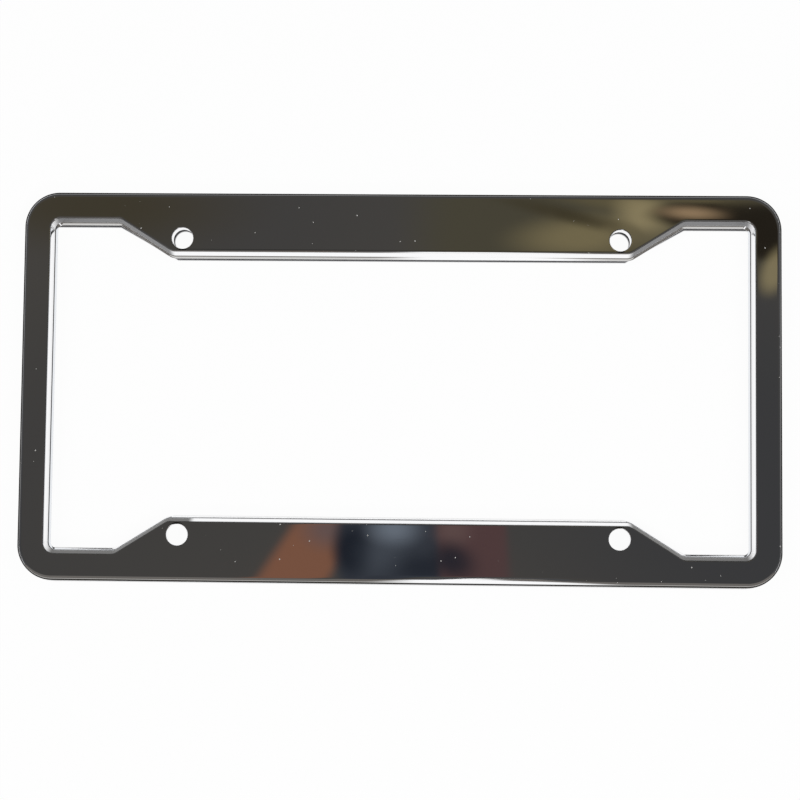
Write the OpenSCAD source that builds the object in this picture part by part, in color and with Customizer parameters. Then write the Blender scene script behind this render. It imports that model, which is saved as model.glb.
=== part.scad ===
// Number plate holder: one pressed and chromed sheet that frames a 12 x 6 inch number plate.
// The frame lies face up, with its back rim at z = 0 and its centre on the Z axis.

/* [Frame] */
// Overall width
frame_w = 308; // [306:0.5:330]
// Overall height
frame_h = 158.5; // [156:0.5:175]
// Overall depth, from the back rim to the face
frame_d = 6.4; // [5.8:0.1:10]
// Thickness of the sheet
sheet_t = 0.6; // [0.5:0.05:0.65]
// Radius of the four outer corners, seen from the front
corner_r = 14.25; // [10:0.25:20]
// Radius of the bend between the face and the outer wall
rim_bend_r = 2; // [1.2:0.1:2.4]

/* [Window] */
// Width of the border at the sides and beside the corners of the window
border_w = 10.325; // [9:0.025:14]
// Distance from the straight edge of a rail to the middle of its screw holes
rail_to_hole = 4.9; // [4.875:0.025:8]
// How far the straight edge of a rail runs past the screw holes
rail_past_hole = 2.85; // [1.5:0.05:10]
// Length of a slope along the frame, between the centres of the bends at its two ends
slope_w = 23.95; // [16:0.05:30]
// Radius where a slope meets a rail
crest_r = 3.425; // [3.125:0.025:8]
// Radius of the window's corners, and where a slope meets the border
notch_r = 4.975; // [3.6:0.025:8]

/* [Stepped edge] */
// Drop from the face to the end of the lip
step_drop = 3.2; // [2.8:0.1:3.8]
// Radius of the bend from the face down into the bevel
brow_bend_r = 0.8; // [0.8:0.05:1.2]
// Slope of the bevel, in degrees
bevel_tilt = 60; // [54:1:66]
// Radius in the crease at the foot of the bevel
crease_bend_r = 0.2; // [0.1:0.05:0.5]
// Slope of the lip where the crease ends, in degrees
crease_tilt = 20; // [10:1:30]
// Radius of the bend in the lip
nose_bend_r = 0.7; // [0.7:0.05:1]
// Slope of the lip's end, in degrees
lip_tilt = 48; // [40:1:54]
// Length of the straight end of the lip, which holds the plate's edge
lip_length = 0.95; // [0.5:0.05:1.2]

/* [Screw holes] */
// Distance from the frame's sides to the middle of the holes, which leaves 177.8 between the holes
hole_from_side = 65.1; // [60:0.05:75]
// Distance from the top and bottom to the middle of the holes, which leaves 120.65 between the holes
hole_from_top = 18.925; // [16:0.025:22]
// Diameter of the holes
hole_d = 8.6; // [6:0.1:8.6]
// Rounding of the holes at the face
hole_entry_r = 0.3; // [0.2:0.05:0.4]
// Wall of the drawn collar round each hole
collar_t = 0.5; // [0.45:0.05:0.55]

/* [Hidden] */
$fn = 64;

// The sheet is drawn in metres, where the rounding of its angles closes up, and enlarged at the end
mm = 0.001;

// The sheet and the frame's outline
t = sheet_t * mm;
half_w = frame_w / 2 * mm;
half_h = frame_h / 2 * mm;
outer_r = corner_r * mm;
outer = [half_w - outer_r, half_h - outer_r];
rim_r = rim_bend_r * mm;

// Heights of the face, and of the lip's lowest edge and the collars, which rest on the number plate
face_z = frame_d * mm;
drop = step_drop * mm;
seat_z = face_z - drop - t * cos(lip_tilt);

// The bends of the stepped edge, and the lengths of its two straight parts
brow_r = brow_bend_r * mm;
crease_r = crease_bend_r * mm;
nose_r = nose_bend_r * mm;
lip_run = lip_length * mm;
brow_drop = brow_r * (1 - cos(bevel_tilt));
crease_drop = crease_r * (cos(crease_tilt) - cos(bevel_tilt));
nose_drop = nose_r * (cos(crease_tilt) - cos(lip_tilt));
bevel_drop = drop - brow_drop - crease_drop - nose_drop - lip_run * sin(lip_tilt);
bevel_run = bevel_drop / sin(bevel_tilt);

// The screw holes
hole = [half_w - hole_from_side * mm, half_h - hole_from_top * mm];
hole_r = hole_d / 2 * mm;
entry_r = hole_entry_r * mm;
mouth_r = hole_r + entry_r;

// How far each swept edge laps onto the flat sheet, which stops halfway along that lap
lap = 3 * mm;
half_lap = lap / 2;
// How far each mirrored run passes the frame's middle lines
middle_lap = 5 * mm;

// Centres of the arcs in one quarter of the window's edge
window_arc_r = notch_r * mm;
metal_arc_r = crest_r * mm;
crest = [hole[0] + rail_past_hole * mm, hole[1] - rail_to_hole * mm + metal_arc_r];
corner = [half_w - border_w * mm - window_arc_r, half_h - border_w * mm - window_arc_r];
notch = [crest[0] + slope_w * mm, corner[1]];
notch_run = corner[0] - notch[0];

// The slope is the common tangent of the crest's circle and the notch's circle
span = notch - crest;
radii = metal_arc_r + window_arc_r;
slope_angle = atan2(span[1], span[0]) + asin(radii / norm(span));
slope_run = sqrt(span * span - radii * radii);

// A copy of the children in each quarter of the frame
module each_quarter()
    for (a = [0, 1], b = [0, 1])
        mirror([a, 0, 0]) mirror([0, b, 0]) children();

// A quarter of a ring, between two radii, in the first quadrant
module quarter_ring(r_out, r_in)
    intersection() {
        difference() {
            circle(r_out);
            circle(r_in);
        }
        square(r_out);
    }

// A disc inside the sheet, which lies in two neighbouring parts of a section and holds them together
module seam()
    translate([0, -t / 2]) circle(t / 4);

// A straight part of a section. The children start where it ends.
module ahead(length) {
    translate([0, -t]) square([length, t]);
    translate([length, 0]) children();
}

// A sector of a ring that turns down from the top by an angle
module bend_ring(r_out, r_in, angle)
    intersection() {
        quarter_ring(r_out, r_in);
        rotate(90 - angle) square(r_out);
    }

// A bend that turns down, with its radius at the front of the sheet
module bend_down(r, angle) {
    seam();
    translate([0, -r]) {
        bend_ring(r, r - t, angle);
        rotate(-angle) translate([0, r]) {
            seam();
            children();
        }
    }
}

// A bend that turns up, with its radius at the front of the sheet
module bend_up(r, angle) {
    seam();
    translate([0, r]) {
        mirror([0, 1]) bend_ring(r + t, r, angle);
        rotate(angle) translate([0, -r]) {
            seam();
            children();
        }
    }
}

// Section of the window's edge. X runs from the flat sheet into the window, and Y is height.
// From the face the sheet turns down into a bevel, up again in a crease, and down once more to the lip.
module step_section()
    translate([-lap, face_z])
        ahead(lap)
        bend_down(brow_r, bevel_tilt)
        ahead(bevel_run)
        bend_up(crease_r, bevel_tilt - crease_tilt)
        bend_down(nose_r, lip_tilt - crease_tilt)
        ahead(lip_run);

// Section of the outer edge. X runs from the flat sheet outwards, and Y is height.
module rim_section()
    translate([-lap, face_z])
        ahead(lap)
        bend_down(rim_r, 90)
        ahead(face_z - rim_r);

// A straight run along X. The section's own X points to the right of the way along the run.
module run(length)
    rotate([90, 0, 90]) linear_extrude(length) mirror([1, 0]) children();

// A left turn round a centre in the metal, starting straight below the centre
module metal_arc(angle)
    rotate([0, 0, -90])
        rotate_extrude(angle = angle) translate([metal_arc_r, 0]) step_section();

// A right turn round a centre in the window, ending straight above the centre
module window_arc(angle)
    rotate([0, 0, 90])
        rotate_extrude(angle = angle) translate([window_arc_r, 0]) mirror([1, 0]) step_section();

// One quarter of the stepped edge, from the middle of a rail to the middle of a side.
// Each place on the way is set from the one before it, so that neighbours meet exactly.
module step_quarter() {
    translate([-middle_lap, crest[1] - metal_arc_r])
        run(crest[0] + middle_lap) step_section();
    translate(crest) {
        metal_arc(slope_angle);
        rotate([0, 0, slope_angle]) {
            translate([0, -metal_arc_r])
                run(slope_run) step_section();
            translate([slope_run, -radii])
                rotate([0, 0, -slope_angle]) notch_to_side();
        }
    }
}

// The stepped edge from the end of the slope on, seen from the notch's centre
module notch_to_side() {
    window_arc(slope_angle);
    translate([0, window_arc_r])
        run(notch_run) step_section();
    translate([notch_run, 0]) {
        rotate([0, 0, -90]) window_arc(90);
        translate([window_arc_r, 0])
            rotate([0, 0, -90]) run(corner[1] + middle_lap) step_section();
    }
}

// One quarter of the outer wall and the bend above it
module rim_quarter() {
    translate([-middle_lap, half_h - rim_r])
        mirror([0, 1, 0]) run(outer[0] + middle_lap) rim_section();
    translate(outer)
        rotate_extrude(angle = 90) translate([outer_r - rim_r, 0]) rim_section();
    translate([half_w - rim_r, -middle_lap])
        rotate([0, 0, 90]) run(outer[1] + middle_lap) rim_section();
}

// Outline of the flat sheet, set back inside the rim's bend
module sheet_outline() {
    inset = rim_r + half_lap;
    square(2 * [outer[0], half_h - inset], center = true);
    square(2 * [half_w - inset, outer[1]], center = true);
    for (x = [-outer[0], outer[0]], y = [-outer[1], outer[1]])
        translate([x, y]) circle(outer_r - inset);
}

// The gap in the flat sheet, set back from the bends of the stepped edge
module sheet_gap() {
    back_r = window_arc_r + half_lap;
    half_turn = tan(slope_angle / 2);
    crest_point = crest + (metal_arc_r - half_lap) * [half_turn, -1];
    notch_point = notch + back_r * [-half_turn, 1];
    side_x = corner[0] + back_r;
    for (a = [0, 1], b = [0, 1])
        mirror([a, 0]) mirror([0, b]) {
            polygon([
                [0, 0], [0, crest_point[1]], crest_point, notch_point,
                [corner[0], notch_point[1]], corner, [side_x, corner[1]], [side_x, 0]
            ]);
            translate(corner) circle(back_r);
        }
}

// What a screw hole takes out of the flat sheet
module piercing()
    translate([0, 0, face_z - 2 * t]) cylinder(h = 3 * t, r = mouth_r);

// A hole drawn down through the sheet, as deep as the seat on the number plate. Its wall is wider than
// the rounding of the mouth and reaches up into the sheet, as far as halfway to the rounding.
module collar() {
    entry_z = face_z - entry_r;
    root_z = (entry_z + face_z - t) / 2;
    rotate_extrude() {
        translate([hole_r, face_z - t]) square([entry_r, t - entry_r]);
        translate([mouth_r, entry_z]) rotate(90) quarter_disc(entry_r);
        translate([hole_r, seat_z]) square([collar_t * mm, root_z - seat_z]);
    }
}

// A quarter of a disc in the first quadrant
module quarter_disc(r)
    intersection() {
        circle(r);
        square(r);
    }

// The flat face
module face_sheet()
    translate([0, 0, face_z - t])
        linear_extrude(t)
            difference() {
                sheet_outline();
                sheet_gap();
            }

// The whole pressing: the face with its outer wall and stepped window is pierced in four places,
// and each hole is drawn down into a collar
module plate_frame()
    color("silver") scale(1 / mm) {
        difference() {
            union() {
                face_sheet();
                each_quarter() {
                    step_quarter();
                    rim_quarter();
                }
            }
            each_quarter() translate(hole) piercing();
        }
        each_quarter() translate(hole) collar();
    }

plate_frame();
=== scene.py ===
# %% [markdown]
# # A chromed number plate frame
# The object is one sheet of steel, pressed, pierced and chromed. It frames a number plate: the flat
# face lies in front of the plate's margin, the outer wall goes round its edge, and a thin lip inside
# the window holds it down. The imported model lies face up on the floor, with its middle on the Z axis.
# Chrome is almost a mirror, so half of this lesson is about the shape of narrow bends, which draw the
# bright and dark lines, and the other half is about what stands round the frame to be mirrored.

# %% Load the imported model
import math

import bmesh
import bpy
from mathutils import Matrix, Vector


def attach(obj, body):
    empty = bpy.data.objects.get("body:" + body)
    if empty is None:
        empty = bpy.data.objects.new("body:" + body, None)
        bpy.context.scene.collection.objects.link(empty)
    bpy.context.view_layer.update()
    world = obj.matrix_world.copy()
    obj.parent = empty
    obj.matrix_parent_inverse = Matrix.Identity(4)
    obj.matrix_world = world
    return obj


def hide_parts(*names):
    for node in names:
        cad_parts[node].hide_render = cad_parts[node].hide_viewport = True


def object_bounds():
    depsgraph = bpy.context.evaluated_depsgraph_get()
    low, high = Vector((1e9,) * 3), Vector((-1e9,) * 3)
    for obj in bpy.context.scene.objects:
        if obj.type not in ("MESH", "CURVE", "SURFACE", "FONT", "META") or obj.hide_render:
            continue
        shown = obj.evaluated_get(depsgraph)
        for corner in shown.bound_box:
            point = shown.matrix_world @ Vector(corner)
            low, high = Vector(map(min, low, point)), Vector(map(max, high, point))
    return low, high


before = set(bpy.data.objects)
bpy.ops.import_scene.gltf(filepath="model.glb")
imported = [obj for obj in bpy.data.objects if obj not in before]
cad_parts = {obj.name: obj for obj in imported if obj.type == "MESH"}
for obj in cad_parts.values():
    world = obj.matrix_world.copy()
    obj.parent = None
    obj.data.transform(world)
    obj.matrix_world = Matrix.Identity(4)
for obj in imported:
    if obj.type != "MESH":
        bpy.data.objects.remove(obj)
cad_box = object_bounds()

mm = 0.001
half_w = cad_box[1][0]
half_h = cad_box[1][1]
face_z = cad_box[1][2]
sheet = 0.6 * mm
print(f"Frame {2 * half_w / mm:.1f} x {2 * half_h / mm:.1f} x {face_z / mm:.1f} mm")

# %% [markdown]
# ## The way a section is drawn
# A press bends sheet metal along lines, so every edge of the frame is one section carried along a
# path. A section could be typed in as a list of points, but it is nearer to the real thing to walk
# along the sheet: straight ahead is one vertex extruded, and a bend is one vertex spun round a
# centre beside it. The section stands in the plane X = 0. Y runs across the frame and Z is height.
# A sheet has two sides, and the same bends draw both: round a bend the hidden side keeps the same
# centre, and its radius is one sheet's thickness smaller or larger.

# %% Walk along the sheet
bend_step = 6


class Section:
    """A chain of edges along the sheet. It heads for +Y or -Y, and bends down by positive angles."""

    def __init__(self, bm, y, z, heading):
        self.bm = bm
        self.last = bm.verts.new((0, y, z))
        self.heading = Vector((0, heading, 0))
        self.hand = -heading

    def ahead(self, length):
        made = bmesh.ops.extrude_vert_indiv(self.bm, verts=[self.last])
        made["verts"][0].co = self.last.co + self.heading * length
        self.last = made["verts"][0]

    def bend(self, radius, degrees):
        angle = math.radians(degrees) * self.hand
        aside = Matrix.Rotation(math.copysign(math.pi / 2, angle), 3, "X") @ self.heading
        steps = max(3, round(abs(degrees) / bend_step))
        made = bmesh.ops.spin(
            self.bm, geom=[self.last], cent=self.last.co + aside * radius, axis=(1, 0, 0),
            angle=angle, steps=steps)
        self.last = next(v for v in made["geom_last"] if isinstance(v, bmesh.types.BMVert))
        self.heading = Matrix.Rotation(angle, 3, "X") @ self.heading


lap = 0.4 * mm
cut_r = 0.1 * mm


def draw_sheet(bm, y, heading, bends, wall, hidden):
    """Draws one side of a bent sheet from its flat to the middle of its cut edge."""
    inset = wall if hidden else 0
    section = Section(bm, y - heading * lap, face_z - (sheet if hidden else 0), heading)
    section.ahead(lap)
    for radius, degrees, length in bends:
        section.bend(radius - math.copysign(inset, degrees), degrees)
        section.ahead(length)
    section.last.co -= section.heading * cut_r
    section.bend(cut_r, -90 if hidden else 90)
    section.ahead(wall / 2 - cut_r)
    return [e for e in bm.edges if e.is_wire]


# %% [markdown]
# ## The way a section is carried along
# A straight stretch is an extrusion of the section's edges, and a corner is a spin round the corner's
# centre. Each stretch starts from the last edges of the one before, so neighbours share their
# vertices and the bends run through without a seam. Only one quarter of the frame is swept: two
# mirrors make the rest, as the real press tool is the same on both sides of its middle lines.

# %% Carry a section along a path
weld = 1e-6


def run_on(bm, edges, step):
    """Extrudes the section's edges along a straight step and returns the new end."""
    made = bmesh.ops.extrude_edge_only(bm, edges=edges)["geom"]
    moved = [v for v in made if isinstance(v, bmesh.types.BMVert)]
    bmesh.ops.translate(bm, verts=moved, vec=step)
    return [e for e in made if isinstance(e, bmesh.types.BMEdge) and all(v in moved for v in e.verts)]


def turn_on(bm, edges, centre, degrees, steps):
    """Spins the section's edges round an upright axis and returns the new end."""
    verts = list({v for e in edges for v in e.verts})
    made = bmesh.ops.spin(
        bm, geom=verts + edges, cent=centre, axis=(0, 0, 1), angle=math.radians(degrees), steps=steps)
    return [e for e in made["geom_last"] if isinstance(e, bmesh.types.BMEdge)]


def mirror_quarter(bm):
    """Mirrors a quarter to the whole frame and welds it along the middle lines."""
    for axis in ("X", "Y"):
        bmesh.ops.mirror(
            bm, geom=bm.verts[:] + bm.edges[:] + bm.faces[:], matrix=Matrix(), merge_dist=weld, axis=axis)
    bmesh.ops.remove_doubles(bm, verts=bm.verts, dist=weld)


# %% [markdown]
# ## The path round the window
# The window has long straight rails past the screw holes, a slope at each end of a rail, and rounded
# corners. Two circles set the path in one quarter: the crest circle lies in the metal where the slope
# leaves the rail, and the notch circle lies in the window where the slope meets the border. The slope
# is their common tangent, so its angle isn't guessed but worked out from the two centres.

# %% Sizes of the window's path
hole_pitch = Vector((177.8, 120.65, 0))
hole = hole_pitch / 2 * mm
crest_r = 3.425 * mm
notch_r = 4.975 * mm
border = 10.325 * mm
rail_to_hole = 4.9 * mm
rail_past_hole = 2.85 * mm
slope_w = 23.95 * mm
rail_y = hole.y - rail_to_hole
crest = Vector((hole.x + rail_past_hole, rail_y + crest_r, 0))
corner = Vector((half_w - border - notch_r, half_h - border - notch_r, 0))
notch = Vector((crest.x + slope_w, corner.y, 0))

span = notch - crest
radii = crest_r + notch_r
slope_angle = math.degrees(math.atan2(span.y, span.x) + math.asin(radii / span.length))
slope_run = math.sqrt(span.length_squared - radii ** 2)
print(f"The slope turns {slope_angle:.1f} degrees and runs {slope_run / mm:.1f} mm")


# %% Follow the window's path
slope_steps = 12
corner_steps = 24


def sweep_window(bm, edges):
    """Carries a section from the middle of the top rail to the middle of the right side."""
    slope = Matrix.Rotation(math.radians(slope_angle), 3, "Z") @ Vector((slope_run, 0, 0))
    edges = run_on(bm, edges, Vector((crest.x, 0, 0)))
    edges = turn_on(bm, edges, crest, slope_angle, slope_steps)
    edges = run_on(bm, edges, slope)
    edges = turn_on(bm, edges, notch, -slope_angle, slope_steps)
    edges = run_on(bm, edges, Vector((corner.x - notch.x, 0, 0)))
    edges = turn_on(bm, edges, corner, -90, corner_steps)
    run_on(bm, edges, Vector((0, -corner.y, 0)))


# %% [markdown]
# ## The stepped edge of the window
# The face bends down into a steep bevel, turns up again in a sharp crease, and bends down once more to
# the lip that holds the plate. The bevel mirrors the white floor inside the window and shows as a
# broad white band. The crease draws the thin dark line beside it, and the lip a pale grey one. It could
# be a Bevel modifier on a flat cut-out, but the bends turn opposite ways and have different radii, so
# the section is drawn as it is. The bevel's length is what the other parts leave of the whole drop.
# The front of the sheet and its back are two skins, because the back gets a duller finish, and both
# end in the cut edge of the lip, which is rounded a little as a pierced edge is.

# %% Draw the stepped edge
brow_r, crease_r, nose_r = 0.8 * mm, 0.2 * mm, 0.7 * mm
wall_tilt, ledge_tilt, lip_tilt = 60, 20, 46
step_drop = 3.2 * mm
lip_run = 0.95 * mm


def drop_of(radius, tilt_from, tilt_to):
    """How far a bend goes down between two tilts of the sheet."""
    return radius * abs(math.cos(math.radians(tilt_from)) - math.cos(math.radians(tilt_to)))


bend_drops = (drop_of(brow_r, 0, wall_tilt) + drop_of(crease_r, wall_tilt, ledge_tilt)
              + drop_of(nose_r, ledge_tilt, lip_tilt))
lip_drop = lip_run * math.sin(math.radians(lip_tilt))
wall_run = (step_drop - bend_drops - lip_drop) / math.sin(math.radians(wall_tilt))
step_bends = (
    (brow_r, wall_tilt, wall_run),
    (crease_r, ledge_tilt - wall_tilt, 0.0),
    (nose_r, lip_tilt - ledge_tilt, lip_run),
)
print(f"The bevel is {wall_run / mm:.2f} mm long")


def step(bm, hidden):
    return draw_sheet(bm, rail_y, -1, step_bends, sheet, hidden)


# %% [markdown]
# ## The rolled outer rim
# Outside, the face rolls over into the wall that goes round the plate. The bend is wider than the
# ones inside, and its mirror image of the room is squeezed into a few thin lines along the outline.

# %% Draw the rolled rim and carry it round
rim_r = 2 * mm
outer_r = 14.25 * mm
outer_steps = 40
outer = Vector((half_w - outer_r, half_h - outer_r, 0))


def rim(bm, hidden):
    return draw_sheet(bm, half_h - rim_r, 1, ((rim_r, 90, face_z - rim_r),), sheet, hidden)


def sweep_rim(bm, edges):
    """Carries a section from the middle of the top to the middle of the right side."""
    edges = run_on(bm, edges, Vector((outer.x, 0, 0)))
    edges = turn_on(bm, edges, outer, -90, outer_steps)
    run_on(bm, edges, Vector((0, -outer.y, 0)))


# %% [markdown]
# ## The screw holes
# Each hole is drawn down through the sheet into a short collar, whose bright wall shows as a crescent
# beside the white floor. A hole could be cut with a Boolean, but the collar is a turned shape, so its
# section is spun once round the hole's axis.

# %% Draw a screw hole
hole_r = 4.3 * mm
mouth = 0.3 * mm
collar = 0.5 * mm
root_r = 0.3 * mm
hole_steps = 64
collar_z = face_z - step_drop - sheet * math.cos(math.radians(lip_tilt))


def bore(bm, hidden):
    """The mouth is rounder outside than in, so the hidden side starts where the collar's outside does."""
    if not hidden:
        bends = ((mouth, 90, face_z - mouth - collar_z),)
        return draw_sheet(bm, hole.y + hole_r + mouth, -1, bends, collar, False)
    section = Section(bm, hole.y + hole_r + collar + root_r + lap, face_z - sheet, -1)
    section.ahead(lap)
    section.bend(root_r, 90)
    section.ahead(face_z - sheet - root_r - collar_z - cut_r)
    section.bend(cut_r, -90)
    section.ahead(collar / 2 - cut_r)
    return [e for e in bm.edges if e.is_wire]


def spin_hole(bm, edges):
    """Moves a section to the hole and turns it once round the hole's axis."""
    verts = list({v for e in edges for v in e.verts})
    bmesh.ops.translate(bm, verts=verts, vec=(hole.x, 0, 0))
    bmesh.ops.spin(
        bm, geom=verts + edges, cent=hole, axis=(0, 0, 1),
        angle=2 * math.pi, steps=hole_steps, use_merge=True)


# %% [markdown]
# ## One skin, then one sheet
# A skin is the three swept and turned edges of a quarter, mirrored, with the flat face filled in
# between them. The flat could be cut up by hand, but Triangle Fill takes an outline with holes in it
# as it is, and on a plane the way it is cut up never shows. The narrow flat lap beside each bend
# keeps those triangles away from the bends, where their shading would show.

# %% Make a skin
level = 1e-7


def make_skin(name, hidden):
    """One side of the sheet as a bmesh."""
    bm = bmesh.new()
    sweep_window(bm, step(bm, hidden))
    sweep_rim(bm, rim(bm, hidden))
    spin_hole(bm, bore(bm, hidden))
    mirror_quarter(bm)
    flat_z = face_z - sheet * hidden
    edges = [
        e for e in bm.edges
        if e.is_boundary and all(abs(v.co.z - flat_z) < level for v in e.verts)]
    bmesh.ops.triangle_fill(bm, edges=edges, use_beauty=True, use_dissolve=False, normal=(0, 0, 1))
    for face in bm.faces:
        face.material_index = int(hidden)
    print(f"{name}: {len(edges)} edges round the flat, {len(bm.faces)} faces")
    return bm


front = make_skin("Front skin", False)
back = make_skin("Back skin", True)

# %% [markdown]
# The two skins meet along the cut edges, where their last vertices lie on each other. Merged there,
# they close into one sheet. A mirrored shape can be inside out, so the normals are worked out again
# once it is closed. Weighted Normal then lets the large flat faces set the shading beside the bends.

# %% Join the skins into the sheet
mesh = bpy.data.meshes.new("chrome_frame")
front.to_mesh(mesh)
back_mesh = bpy.data.meshes.new("back_skin")
back.to_mesh(back_mesh)
sheet_bm = bmesh.new()
sheet_bm.from_mesh(mesh)
sheet_bm.from_mesh(back_mesh)
bmesh.ops.remove_doubles(sheet_bm, verts=sheet_bm.verts, dist=2 * weld)
bmesh.ops.recalc_face_normals(sheet_bm, faces=sheet_bm.faces)
open_edges = sum(not e.is_manifold for e in sheet_bm.edges)
for face in sheet_bm.faces:
    face.smooth = True
sheet_bm.to_mesh(mesh)
print(f"Sheet: {len(sheet_bm.faces)} faces, {open_edges} open edges, {sheet_bm.calc_volume() * 1e9:.0f} mm3")

chrome_frame = bpy.data.objects.new("chrome_frame", mesh)
bpy.context.scene.collection.objects.link(chrome_frame)
shading = chrome_frame.modifiers.new("Weighted normals", "WEIGHTED_NORMAL")
shading.mode = "FACE_AREA"
shading.weight = 50
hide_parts("plate_frame")
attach(chrome_frame, "root")

# %% [markdown]
# ## Shader maths in plain Python
# A material is a net of nodes, and sums typed as expressions are easier to follow than boxes and
# wires. The small class below holds one socket. Adding or multiplying two of them makes the Math
# node that does it, and every other node comes from one method.

# %% A socket that can be reckoned with
class Value:
    """One output socket of a material, with arithmetic."""

    def __init__(self, tree, socket):
        self.tree = tree
        self.socket = socket

    def node(self, kind, settings=None, inputs=None):
        """Adds a node, sets it up, fills its sockets, and returns it."""
        made = self.tree.nodes.new(kind)
        for name, value in (settings or {}).items():
            setattr(made, name, value)
        for name, value in (inputs or {}).items():
            if isinstance(value, Value):
                self.tree.links.new(value.socket, made.inputs[name])
            else:
                made.inputs[name].default_value = value
        return made

    def pick(self, node, output=0):
        return Value(self.tree, node.outputs[output])

    def axes(self):
        """X, Y and Z of a place."""
        apart = self.node("ShaderNodeSeparateXYZ", None, {"Vector": self})
        return [self.pick(apart, i) for i in range(3)]

    def math(self, operation, first, second=0.0, clamp=False):
        settings = {"operation": operation, "use_clamp": clamp}
        return self.pick(self.node("ShaderNodeMath", settings, {0: first, 1: second}))

    def __add__(self, other):
        return self.math("ADD", self, other)

    def __sub__(self, other):
        return self.math("SUBTRACT", self, other)

    def __rsub__(self, other):
        return self.math("SUBTRACT", other, self)

    def __mul__(self, other):
        return self.math("MULTIPLY", self, other)

    def __lt__(self, other):
        return self.math("LESS_THAN", self, other)

    def __gt__(self, other):
        return self.math("GREATER_THAN", self, other)

    __radd__ = __add__
    __rmul__ = __mul__

    def size(self):
        return self.math("ABSOLUTE", self)

    def positive(self):
        return self.math("MAXIMUM", self, 0.0)

    def squared(self):
        return self.math("POWER", self, 2.0)

    def ease(self, low, high, start=0.0, end=1.0):
        """Runs smoothly from start to end while the value goes from low to high."""
        settings = {"interpolation_type": "SMOOTHSTEP"}
        places = {"Value": self, "From Min": low, "From Max": high, "To Min": start, "To Max": end}
        return self.pick(self.node("ShaderNodeMapRange", settings, places))

    def noise(self, scale, detail=2.0, stretch=(1, 1, 1), turn=0.0, roughness=0.5):
        """Noise between 0 and 1. The value is a place."""
        mapping = self.node("ShaderNodeMapping", None, {
            "Vector": self, "Scale": stretch, "Rotation": (0, 0, math.radians(turn))})
        places = {"Vector": self.pick(mapping), "Scale": scale, "Detail": detail, "Roughness": roughness}
        return self.pick(self.node("ShaderNodeTexNoise", None, places))

    def blend(self, first, second):
        """A colour between two, with this value as the share of the second."""
        node = self.node("ShaderNodeMix", {"data_type": "RGBA"}, {0: self, 6: first, 7: second})
        return self.pick(node, 2)


def new_material(name):
    """A node material with its shader, and the place on the object as a Value."""
    material = bpy.data.materials.new(name)
    material.use_nodes = True
    shader = material.node_tree.nodes["Principled BSDF"]
    corner_node = material.node_tree.nodes.new("ShaderNodeTexCoord")
    return material, shader, Value(material.node_tree, corner_node.outputs["Object"])


def plug(value, socket):
    value.tree.links.new(value.socket, socket)


# %% [markdown]
# ## Chrome
# Chrome plate on a pressed sheet is a mirror, a little darker than silver. It isn't a perfect one:
# the sheet under it waves by hundredths of a millimetre, it is pulled down round the holes and sags
# towards the middle of the lower rim, wiping leaves hair scratches, and dust lies on it. Each of these
# is one height or one mask, on Object coordinates, so that it stays where it is from any side.

# %% Chrome for the front
chrome, chrome_shader, place = new_material("chrome_plate")
x, y, z = place.axes()

# %% The sheet's slow waves, and the fine skin of the plating
wave_height, wave_scale = 0.03 * mm, 14
peel_height, peel_scale = 0.00015 * mm, 450
waves = place.noise(wave_scale, detail=1.0) * wave_height
peel = place.noise(peel_scale, detail=1.0) * peel_height


# %% The pull round the holes
def hole_distance(spot):
    """The distance of a place from the axis of the nearest hole."""
    across, up, unused = spot.axes()
    flat = spot.node("ShaderNodeCombineXYZ", None, {"X": across.size(), "Y": up.size(), "Z": 0.0})
    gap = spot.node("ShaderNodeVectorMath", {"operation": "DISTANCE"}, {0: spot.pick(flat), 1: tuple(hole)})
    return spot.pick(gap, 1)


pull_depth, pull_reach = 0.006 * mm, 6 * mm
pull = hole_distance(place).ease(hole_r, hole_r + pull_reach, -pull_depth, 0)

# %% The sag towards the lower rim
sag_depth = 0.2 * mm
sag_y = rim_r - half_h
sag_along = x.ease(-20 * mm, 40 * mm) * x.ease(50 * mm, 90 * mm, 1, 0)
sag = y.ease(sag_y - 1.2 * mm, sag_y + 1.6 * mm, -sag_depth, 0) * sag_along
height = waves + peel + pull + sag

# %% Hair scratches and dust
hair_turn, hair_stretch = 24, (1, 40, 1)
hairs = (place.noise(60, 4.0, hair_stretch, hair_turn) > 0.72) * (place.noise(50, 1.0) > 0.55)
cell_scale = 170.0
grain_size = 0.045
cells = place.node("ShaderNodeTexVoronoi", {"feature": "F1", "voronoi_dimensions": "2D"}, {
    "Vector": place, "Scale": cell_scale})
grain = place.pick(cells, "Distance")
chance = place.pick(place.node("ShaderNodeSeparateColor", None, {"Color": place.pick(cells, "Color")}))
dust = (grain < chance.ease(0.82, 1.0, 0.0, grain_size)) * (z > face_z - 0.2 * mm)

# %% [markdown]
# The bevel is mirror bright along the rails and sides. On the slopes and in the notches beside them it
# gets a satin roughness and a grey colour, which is painted shade for the grey surroundings those parts
# mirror. It is painted darker below than above, and at the lower left the grey runs on a little way
# along the rail. The outer wall's colour is painted darker all round but at the lower edge, a painted
# shade for the dark room it mirrors there. Each is a mask by place again, made of the same centres that
# the path round the window has.

# %% Which part of the sheet is the bevel
bevel_foot = face_z - step_drop + lip_drop + bend_drops - drop_of(brow_r, 0, wall_tilt)
off_holes = hole_distance(place) > hole_r + 1.5 * mouth
on_bevel = (y.size() < half_h - 8 * mm) * (z < face_z - 0.1 * mm) * (z > bevel_foot) * off_holes
print(f"The foot of the bevel is at {bevel_foot / mm:.2f} mm")

# %% Where the bevel is painted in shade and given a satin roughness
grey_run = 10 * mm
past_crest = x.size() + (x < 0) * (y < 0) * grey_run
# The bevel's painted shade on the slopes and notches, which also sets their satin roughness.
painted_shade_and_satin = (
    past_crest.ease(crest.x, crest.x + 3 * mm) * x.size().ease(corner.x + 1 * mm, corner.x + 4 * mm, 1, 0)
    * on_bevel)
in_corner = (
    x.size().ease(corner.x - 1 * mm, corner.x + 2 * mm)
    * y.size().ease(corner.y - 2 * mm, corner.y + 2 * mm) * on_bevel)
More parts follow.
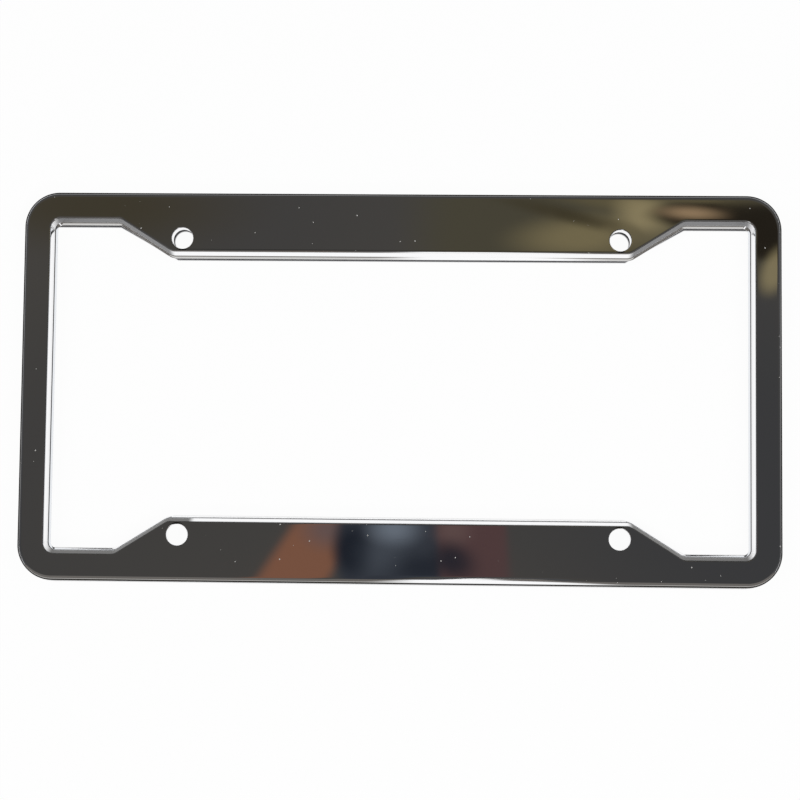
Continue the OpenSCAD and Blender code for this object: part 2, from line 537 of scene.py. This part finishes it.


# %% The painted shade on the outer wall
def outline_gap(spot):
    """How far a place lies outside the frame's outline."""
    across, up, unused = spot.axes()
    past_x = (across.size() - outer.x).positive()
    past_y = (up.size() - outer.y).positive()
    return spot.math("SQRT", past_x.squared() + past_y.squared()) - outer_r


# Painted shade: the outer wall's colour is darker everywhere but near the lower edge.
on_wall = (outline_gap(place) > -1.1 * rim_r) * (z < face_z - 0.1 * rim_r)
rim_shade = on_wall * y.ease(2 * mm - half_h, 14 * mm - half_h)

# %% Put the chrome together
bump = place.node("ShaderNodeBump", None, {"Strength": 1.0, "Distance": 1.0, "Height": height})
plug(place.pick(bump), chrome_shader.inputs["Normal"])
# The second colour on the next line is painted shade for the outer wall.
BRIGHT, PAINTED_WALL_SHADE = (0.96, 0.96, 0.97, 1), (0.4, 0.39, 0.38, 1)
# The two colours on the next line are painted shade for the bevel on the slopes, darker below.
LOWER_PAINTED_SHADE, UPPER_PAINTED_SHADE = (0.17, 0.168, 0.165, 1), (0.25, 0.25, 0.255, 1)
dust_tone = (0.55, 0.54, 0.52, 1)
satin_roughness = 0.22
chrome_tone = rim_shade.blend(BRIGHT, PAINTED_WALL_SHADE)
painted_bevel_shade = (y > 0).blend(LOWER_PAINTED_SHADE, UPPER_PAINTED_SHADE)
plug(dust.blend(painted_shade_and_satin.blend(chrome_tone, painted_bevel_shade), dust_tone), chrome_shader.inputs["Base Color"])
plug(1 - dust, chrome_shader.inputs["Metallic"])
cloud = place.noise(35, detail=3.0).ease(0.35, 0.75, 0.03, 0.06)
satin = painted_shade_and_satin.math("MAXIMUM", painted_shade_and_satin, in_corner) * satin_roughness
plug(cloud + hairs * 0.05 + dust * 0.6 + satin, chrome_shader.inputs["Roughness"])

# %% [markdown]
# ## The back of the sheet
# The plating bath reaches the back as well, but nobody polishes it there. It comes out as a duller,
# slightly mottled metal, so the same metal is used with more roughness.

# %% Dull plate for the back
dull, dull_shader, spot = new_material("dull_plate")
DARK_PATCH, LIGHT_PATCH = (0.42, 0.42, 0.43, 1), (0.55, 0.55, 0.56, 1)
grit_height, grit_scale = 0.003 * mm, 600
mottle = spot.noise(90, detail=4.0)
plug(mottle.blend(DARK_PATCH, LIGHT_PATCH), dull_shader.inputs["Base Color"])
plug(mottle.ease(0.3, 0.7, 0.22, 0.36), dull_shader.inputs["Roughness"])
dull_shader.inputs["Metallic"].default_value = 1.0
dull_bump = spot.node("ShaderNodeBump", None, {
    "Strength": 1.0, "Distance": 1.0, "Height": spot.noise(grit_scale, detail=2.0) * grit_height})
plug(spot.pick(dull_bump), dull_shader.inputs["Normal"])
chrome_frame.data.materials.append(chrome)
chrome_frame.data.materials.append(dull)

# %% [markdown]
# ## The camera
# The frame was seen from almost straight above, a little towards its lower edge. The picture's centre
# lies above the lens's axis, so the camera has a small upward shift instead of a tilt: a tilt would
# make the frame's sides run together.

# %% Set up the camera
camera_data = bpy.data.cameras.new("camera")
camera = bpy.data.objects.new("camera", camera_data)
bpy.context.scene.collection.objects.link(camera)
bpy.context.scene.camera = camera
camera.location = (10.75 * mm, -57.8 * mm, 475 * mm)
camera.rotation_mode = "YXZ"
camera.rotation_euler = tuple(math.radians(a) for a in (2.505, 1.189, 0.585))
camera_data.sensor_width = 36
camera_data.lens = 52.52
camera_data.shift_y = 0.1
camera_data.clip_start = 0.01

# %% [markdown]
# ## The floor
# The frame lies on a white sheet that shows as pure white. More light would burn the metal out, so
# the floor glows a little instead, for the camera and in mirror images alone. The rest of it is a matt
# white that takes the frame's shadow, and more shadow is painted into its colour round and under the
# frame. The floor and the two cards that are mirrored in the frame are each one flat square, so one
# helper makes all three.

# %% Make a flat square of the studio
def flat_square(name, half_size, place_at, matrix=Matrix()):
    """A square whose place and turn are in its mesh."""
    mesh = bpy.data.meshes.new(name)
    bm = bmesh.new()
    bmesh.ops.create_grid(bm, x_segments=1, y_segments=1, size=half_size, matrix=matrix)
    bmesh.ops.translate(bm, verts=bm.verts, vec=place_at)
    bm.to_mesh(mesh)
    square = bpy.data.objects.new(name, mesh)
    bpy.context.scene.collection.objects.link(square)
    return square


floor_drop = 0.05 * mm
floor = flat_square("floor", 6, (0, 0, -floor_drop))


# %% What the eye sees directly
def seen_directly(tree):
    """1 for a ray from the camera, from a mirror or through glass, and 0 for soft light."""
    rays = Value(tree, None).node("ShaderNodeLightPath")
    eye, mirror, glass = (
        Value(tree, rays.outputs[name]) for name in ("Is Camera Ray", "Is Glossy Ray", "Is Transmission Ray"))
    return eye.math("ADD", eye.math("MAXIMUM", eye, mirror), glass, clamp=True), mirror


# %% [markdown]
# Under the frame the floor's colour is painted in shade, and it doesn't glow there. Inside the window
# and in a disc under each hole it is painted lit. That painted shadow shows as a dark line along the
# lip's edge and as an arc in each hole. Beside the frame the floor is plain white to the eye, but is
# painted dark for mirrors, a painted shade such as a dark cloth laid round the frame would give.
# Otherwise the outer bend would draw a white line round the whole outline, where the real frame shows
# a dark one.

# %% Find the window on the floor
side_light = 1.2 * mm


def window_depth(spot):
    """How far a place on the floor lies inside the window's edge."""
    across, up, unused = spot.axes()
    places = {"Value": across.size(), "From Min": crest.x, "From Max": notch.x,
              "To Min": rail_y, "To Max": corner.y + notch_r}
    upper = spot.pick(spot.node("ShaderNodeMapRange", None, places))
    side = corner.x + notch_r + side_light
    return spot.math("MINIMUM", upper - up.size(), side - across.size())


# %% Paint the floor lit where it is open to the light
paper, paper_shader, floor_spot = new_material("white_floor")
paper_shader.inputs["Roughness"].default_value = 1.0
paper_shader.inputs["Specular IOR Level"].default_value = 0.0
seen, mirror = seen_directly(paper.node_tree)
lip_edge = 2.75 * mm
mirror_reach = 2.5 * mm
lower_hole_light = 1.2 * mm
below_middle = floor_spot.axes()[1] < 0
from_hole = hole_distance(floor_spot) - below_middle * lower_hole_light
in_hole = from_hole.ease(hole_r - 0.3 * mm, hole_r + 0.3 * mm, 1, 0)
inside = window_depth(floor_spot) + mirror * mirror_reach
in_window = inside.ease(lip_edge - 0.2 * mm, lip_edge + 0.3 * mm)
lit = in_window + outline_gap(floor_spot).ease(0, 0.8 * mm) + in_hole
mirrored_dark = mirror * (1 - in_window - in_hole)
bright_part = lit * (1 - mirrored_dark)

# %% Mix the floor's white with its painted shadow
# SHADE is painted shadow under the frame, and DEEP_SHADE is painted shade that mirrors see beside it.
WHITE, SHADE, DEEP_SHADE = (0.9, 0.9, 0.9, 1), (0.22, 0.22, 0.23, 1), (0.04, 0.038, 0.035, 1)
glow_share = 0.96
dim = mirrored_dark.blend(SHADE, DEEP_SHADE)
plug(bright_part.blend(dim, WHITE), paper_shader.inputs["Base Color"])
glow = floor_spot.node("ShaderNodeEmission", None, {"Color": (1, 1, 1, 1), "Strength": 1.0})
mix = floor_spot.node("ShaderNodeMixShader", None, {0: seen * bright_part * glow_share})
paper.node_tree.links.new(paper_shader.outputs[0], mix.inputs[1])
paper.node_tree.links.new(glow.outputs[0], mix.inputs[2])
paper.node_tree.links.new(mix.outputs[0], paper.node_tree.nodes["Material Output"].inputs["Surface"])
floor.data.materials.append(paper)

# %% [markdown]
# ## The card overhead
# A mirror that faces up shows what hangs above it, so its tone is set by a card there, as a
# photographer would hang one. From the camera, each place on the face shows one place on the card:
# the line from the lens to the face, carried on as far above it as the card hangs. That sum turns a
# place on the frame into a place on the card, so each soft tone is put where it should be seen.

# %% Work out what is mirrored where
card_z = 900 * mm
reach = (card_z - face_z) / (camera.location.z - face_z)


def mirrored(face_x, face_y):
    """The place on the card that is seen in the face at a place given in millimetres."""
    return (face_x * mm + (face_x * mm - camera.location.x) * reach,
            face_y * mm + (face_y * mm - camera.location.y) * reach)


print("The card needs to reach from", mirrored(-154, -79), "to", mirrored(154, 79))

# %% Hang the card
def mirrored_card(name, half_size, place_at, matrix=Matrix()):
    """A card that only mirrors see, and neither the camera nor soft light."""
    hung = flat_square(name, half_size, place_at, matrix)
    hung.visible_camera = False
    hung.visible_shadow = False
    hung.visible_diffuse = False
    return hung


def glowing(card, material, colour):
    """Ends a material in a plain glow of a colour, and gives it to a card."""
    nodes = material.node_tree.nodes
    nodes.remove(nodes["Principled BSDF"])
    lamp = colour.node("ShaderNodeEmission", None, {"Color": colour, "Strength": 1.0})
    material.node_tree.links.new(lamp.outputs[0], nodes["Material Output"].inputs["Surface"])
    card.data.materials.append(material)


card_half, card_shift = 0.8, 0.6
card = mirrored_card("overhead_card", card_half, (0, card_shift, card_z))

# %% [markdown]
# What was round the real frame is left to the imagination: there are only soft blots of olive, amber,
# slate and plum on a dark grey. A blot is an ellipse, or a rounded box where its power is high, leaned
# over and softened, and a slow noise bends all of them a little, as the waves in the sheet would.

# %% Lay out the card in millimetres of the face
card_paint, unused, card_spot = new_material("card_tones")
card_x, card_y, unused = card_spot.axes()
sway, sway_by = card_spot.noise(1.6, 1.0), 14
drift, drift_by = card_spot.noise(1.9, 1.0, turn=60), 8
to_face = 1 / (1 + reach) / mm
face_x = (card_x + reach * camera.location.x) * to_face + sway * sway_by - sway_by / 2
face_y = (card_y + reach * camera.location.y) * to_face + drift * drift_by - drift_by / 2


def blot(centre, half, soft=0.3, turn=0.0, power=2.0):
    """A mask that is 1 in the middle of an ellipse, or of a rounded box, and fades out at its edge."""
    cos, sin = math.cos(math.radians(turn)), math.sin(math.radians(turn))
    right, up = face_x - centre[0], face_y - centre[1]
    across = (right * cos + up * sin).size() * (1 / half[0])
    along = (up * cos - right * sin).size() * (1 / half[1])
    reached = across.math("POWER", across, power) + along.math("POWER", along, power)
    return reached.math("POWER", reached, 1 / power).ease(1 - soft, 1 + soft, 1, 0)


# %% Paint the card's soft tones
GREY = (0.060, 0.056, 0.050, 1)
COOL_GREY = (0.040, 0.041, 0.044, 1)
OLIVE = (0.062, 0.056, 0.038, 1)
DARK_OLIVE = (0.045, 0.037, 0.02, 1)
MID_OLIVE = (0.12, 0.10, 0.052, 1)
BRIGHT_OLIVE = (0.165, 0.137, 0.072, 1)
PALE_OLIVE = (0.26, 0.215, 0.115, 1)
NIGHT = (0.016, 0.013, 0.009, 1)
TAN = (0.27, 0.185, 0.105, 1)
AMBER = (0.185, 0.085, 0.052, 1)
ROSE = (0.125, 0.082, 0.076, 1)
SLATE = (0.032, 0.037, 0.047, 1)
DEEP_SLATE = (0.012, 0.015, 0.022, 1)
MIST = (0.15, 0.175, 0.21, 1)
PLUM = (0.078, 0.044, 0.044, 1)
tone = card_spot.noise(1.3, 1.0).ease(0.3, 0.7).blend(GREY, COOL_GREY)
tones = (
    # centre, half size, softness, turn, power, share, colour
    ((-125, 74), (45, 14), 0.8, 0, 2, 0.75, DARK_OLIVE),
    ((78, 66), (72, 30), 0.2, 0, 4, 1.0, OLIVE),
    ((72, 62), (24, 7.5), 0.7, 4, 2, 1.0, BRIGHT_OLIVE),
    ((86, 76), (22, 3.0), 0.8, -7, 2, 0.7, MID_OLIVE),
    ((97, 70), (8, 11), 0.8, 40, 2, 0.9, PALE_OLIVE),
    ((100, 60), (10, 5), 0.8, 0, 2, 0.5, OLIVE),
    ((64, 71), (24, 2.6), 0.8, -14, 2, 0.9, DARK_OLIVE),
    ((122, 71), (21, 5.5), 0.35, 0, 2, 1.0, NIGHT),
    ((140, 64), (21, 11.5), 0.25, 0, 3, 1.0, NIGHT),
    ((153, 60), (12, 8), 0.3, 0, 3, 1.0, NIGHT),
    ((116, 71.5), (10.5, 2.2), 0.9, -4, 2, 1.0, TAN),
    ((116, 77.5), (24, 1.6), 0.7, -2, 2, 0.8, MID_OLIVE),
    ((150, 48), (5, 9), 0.5, -22, 2, 0.75, PALE_OLIVE),
    ((-37, -66), (11.5, 40), 0.25, -32, 5, 1.0, AMBER),
    ((-31, -58), (8, 6), 0.9, 0, 2, 1.0, ROSE),
    ((-1, -66), (26, 34), 0.14, 2, 4, 1.0, SLATE),
    ((-21, -66), (7, 9), 0.6, 0, 2, 1.0, DEEP_SLATE),
    ((8, -73), (12, 5), 0.8, 0, 2, 0.7, DEEP_SLATE),
    ((-4, -57), (8, 5), 0.95, 0, 2, 0.9, MIST),
    ((-10, -67), (8, 7), 0.95, 30, 2, 0.15, MIST),
    ((28, -66), (14, 34), 0.14, 3, 6, 1.0, PLUM),
    ((20, -58), (6, 5), 0.9, 0, 2, 0.6, ROSE),
    ((20, -70), (8, 6), 0.7, -30, 2, 0.9, DEEP_SLATE),
)
for centre, half, soft, turn, power, share, colour in tones:
    tone = (blot(centre, half, soft, turn, power) * share).blend(tone, colour)
glowing(card, card_paint, tone)

# %% [markdown]
# ## The bright card below
# The rolled rim at the lower edge shows a slim white wedge that tapers off to both sides. It is the
# mirror image of one bright surface that stands beyond that edge, squeezed by the bend. A card stands
# there, seen by mirrors alone. Its sides fade out, which tapers the wedge. A pale band low on the same
# card is what the top rail's lip mirrors, as it leans towards the horizon on that side.

# %% Stand the bright card
bright_y, bright_half = -0.6, 1.2
upright = Matrix.Rotation(math.pi / 2, 4, "X")
bright = mirrored_card("bright_card", bright_half, (0, bright_y, bright_half), upright)

# %% Paint the beam and the pale band
beam_x, beam_half, beam_fade = 0.074, 0.06, 0.12
PLAIN, PALE, FULL = (0.14, 0.13, 0.12, 1), (0.62, 0.61, 0.59, 1), (1, 1, 1, 1)
bright_paint, unused, bright_spot = new_material("bright_card")
from_side, unused, rise_up = bright_spot.axes()
beam = (from_side - beam_x).size().ease(beam_half, beam_fade, 1, 0) * rise_up.ease(0, 0.05)
low_band = rise_up.ease(0.08, 0.1) * rise_up.ease(0.17, 0.2, 1, 0)
glowing(bright, bright_paint, beam.blend(low_band.blend(PLAIN, PALE), FULL))

# %% [markdown]
# ## Light and surroundings
# A few large soft lamps light the floor. The world is white to the eye, and in mirror images it is a
# dim room with a narrow pale band a little above the horizon, as windows in its walls would give. The
# lips at the sides and slopes lean that way, so the band draws them as pale lines.

# %% Hang the lamps
def soft_lamp(name, place_at, aim, size, power):
    data = bpy.data.lights.new(name, "AREA")
    data.shape = "RECTANGLE"
    data.size, data.size_y = size
    data.energy = power
    lamp = bpy.data.objects.new(name, data)
    bpy.context.scene.collection.objects.link(lamp)
    lamp.location = place_at
    lamp.rotation_euler = (Vector(aim) - Vector(place_at)).to_track_quat("-Z", "Y").to_euler()
    lamp.visible_camera = False
    lamp.visible_glossy = False
    return lamp


soft_lamp("lamp_left", (-1.3, 0.1, 1.1), (0, 0, 0), (0.9, 0.9), 12)
soft_lamp("lamp_right", (1.3, 0.1, 1.1), (0, 0, 0), (0.9, 0.9), 12)
soft_lamp("lamp_below", (0.25, -1.0, 0.9), (0, 0, 0), (0.5, 0.3), 6)

# %% Set the world
world = bpy.data.worlds.new("studio")
bpy.context.scene.world = world
world.use_nodes = True
backdrop = world.node_tree.nodes["Background"]
sky_node = world.node_tree.nodes.new("ShaderNodeTexCoord")
sky = Value(world.node_tree, sky_node.outputs["Generated"])
rise = sky.axes()[2]
DIM_ROOM, PALE_WALL = (0.06, 0.06, 0.062, 1), (0.85, 0.87, 0.89, 1)
band = rise.ease(0.12, 0.18) * rise.ease(0.3, 0.36, 1, 0)
room = band.blend(DIM_ROOM, PALE_WALL)
rays = sky.node("ShaderNodeLightPath")
eye = Value(world.node_tree, rays.outputs["Is Camera Ray"])
plug(eye.blend(room, (1, 1, 1, 1)), backdrop.inputs["Color"])
bpy.context.scene.view_settings.view_transform = "Standard"
